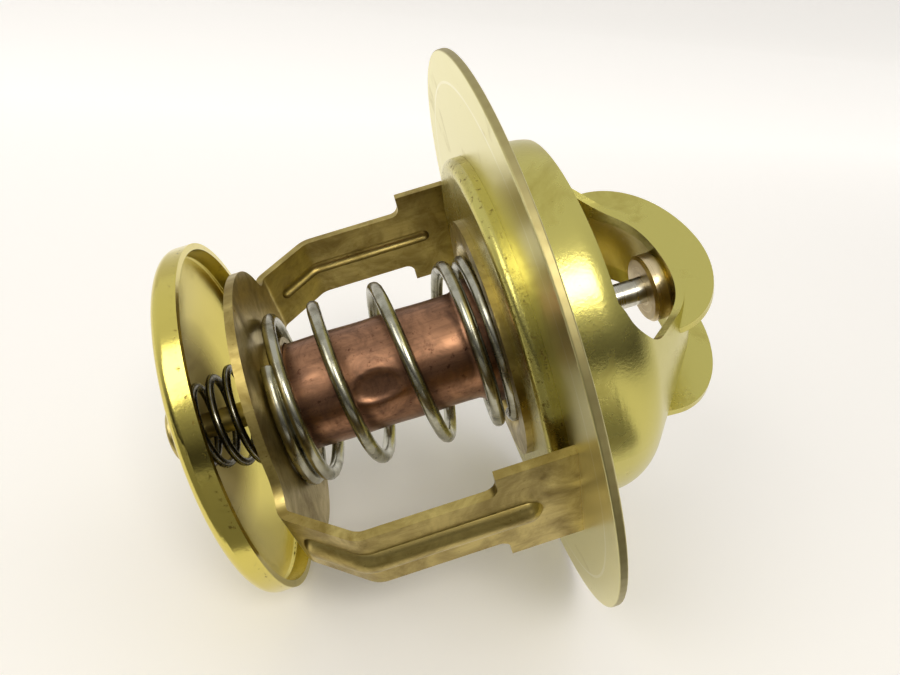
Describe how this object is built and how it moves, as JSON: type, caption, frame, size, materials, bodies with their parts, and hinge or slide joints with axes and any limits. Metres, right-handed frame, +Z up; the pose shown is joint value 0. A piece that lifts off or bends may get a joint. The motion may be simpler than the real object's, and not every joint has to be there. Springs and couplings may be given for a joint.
{
  "type": "engine thermostat",
  "caption": "Engine thermostat with a round flange, domed strap, stirrup frame, wax element in a copper cup, sprung main valve and sprung bypass valve.",
  "frame": {"origin": "on the floor, below the middle of the whole part as it lies", "axes": "+Z is up. The wax element's axis lies in the XZ plane and rises towards +X, where the strap is; the bypass valve is at the -X end. Y runs across, and the near leg is on the -Y side."},
  "size_m": [0.053, 0.054, 0.051],
  "materials": {
    "bright_brass": "bright drawn sheet, light scratches",
    "worn_brass": "dull sheet with brown stains",
    "copper_cup": "copper, dull pink brown",
    "turned_brass": "turned, satin",
    "spring_steel": "bright drawn wire",
    "pin_steel": "ground, satin",
    "seal_rubber": "matt black",
    "disc_plastic": "smooth, white",
    "wax": "wax with copper powder"
  },
  "bodies": {
    "frame_body": {"flange": "bright_brass", "bridge_cap": "bright_brass", "lower_frame": "worn_brass", "pin_hub": "pin_steel", "piston_pin": "pin_steel", "main_spring": "spring_steel"},
    "main_valve": {"valve_plate": "worn_brass", "plate_retainer": "turned_brass", "element_guide": "turned_brass", "guide_seal": "seal_rubber", "piston_disc": "disc_plastic", "piston_plug": "seal_rubber", "diaphragm": "seal_rubber", "wax_charge": "wax", "wax_cup": "copper_cup", "spring_washer": "turned_brass", "bypass_stem": "turned_brass", "bypass_spring": "spring_steel"},
    "bypass_dish": {"bypass_valve": "bright_brass"}
  },
  "joints": [
    {"name": "valve_lift", "type": "slide", "parent": "frame_body", "child": "main_valve", "axis": [-0.9422, 0, -0.3352], "range_m": [0, 0.008], "stiffness_N_per_m": 2500, "deforming": ["main_spring"]},
    {"name": "bypass_lift", "type": "slide", "parent": "main_valve", "child": "bypass_dish", "axis": [0.9422, 0, 0.3352], "range_m": [0, 0.0025], "stiffness_N_per_m": 1500, "deforming": ["bypass_spring"]}
  ]
}
